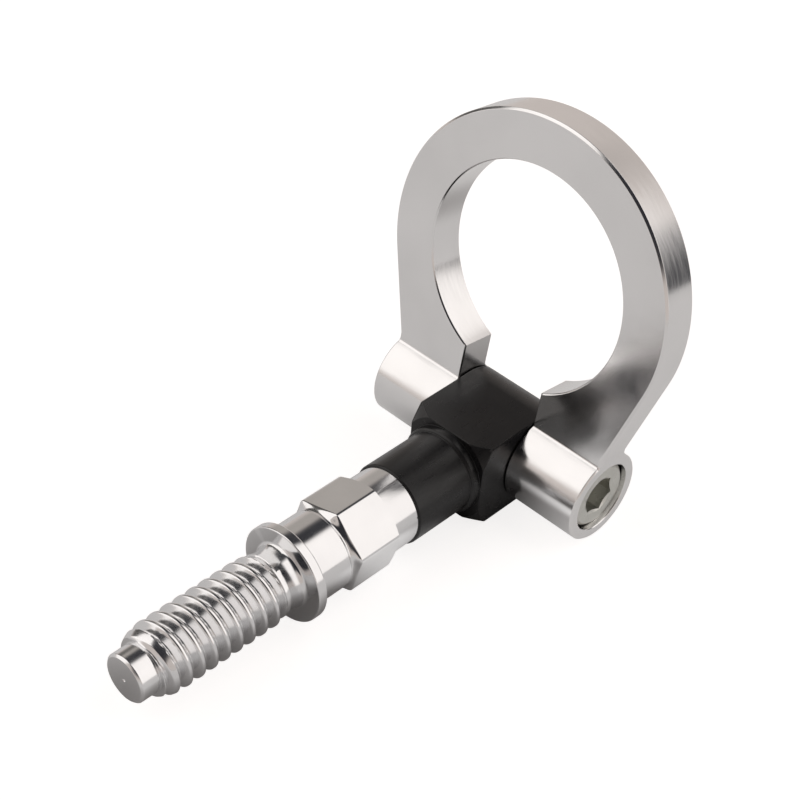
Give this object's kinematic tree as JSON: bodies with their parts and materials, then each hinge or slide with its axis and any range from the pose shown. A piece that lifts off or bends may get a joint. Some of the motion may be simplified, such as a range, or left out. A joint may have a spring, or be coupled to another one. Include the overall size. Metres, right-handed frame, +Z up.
{
  "type": "folding tow eye",
  "caption": "Screw-in tow eye: a flat eye plate with two ears folds on a bolt through a dark pivot block, on a bright stud with a hexagon, flange and coarse thread.",
  "frame": {"origin": "centre of the flange's seat face, on the stud's axis", "axes": "-Y along the stud to its tip, +Z up to the ring as pictured, +X along the pivot towards the bolt's head"},
  "size_m": [0.0744, 0.1247, 0.0905],
  "materials": {
    "ring_aluminium": "satin polished, fine brushed lines",
    "block_black": "satin black anodised",
    "stud_chrome": "bright plated, turned",
    "bolt_steel": "plain zinc-grey steel"
  },
  "bodies": {
    "stud": {"threaded_stud": "stud_chrome", "pivot_block": "block_black"},
    "ring": {"tow_ring": "ring_aluminium", "pivot_bolt": "bolt_steel"}
  },
  "joints": [
    {"name": "ring_fold", "type": "hinge", "parent": "stud", "child": "ring", "pos_m": [0, 0.0682, 0], "axis": [1, 0, 0], "range_deg": [-246, 82]}
  ]
}
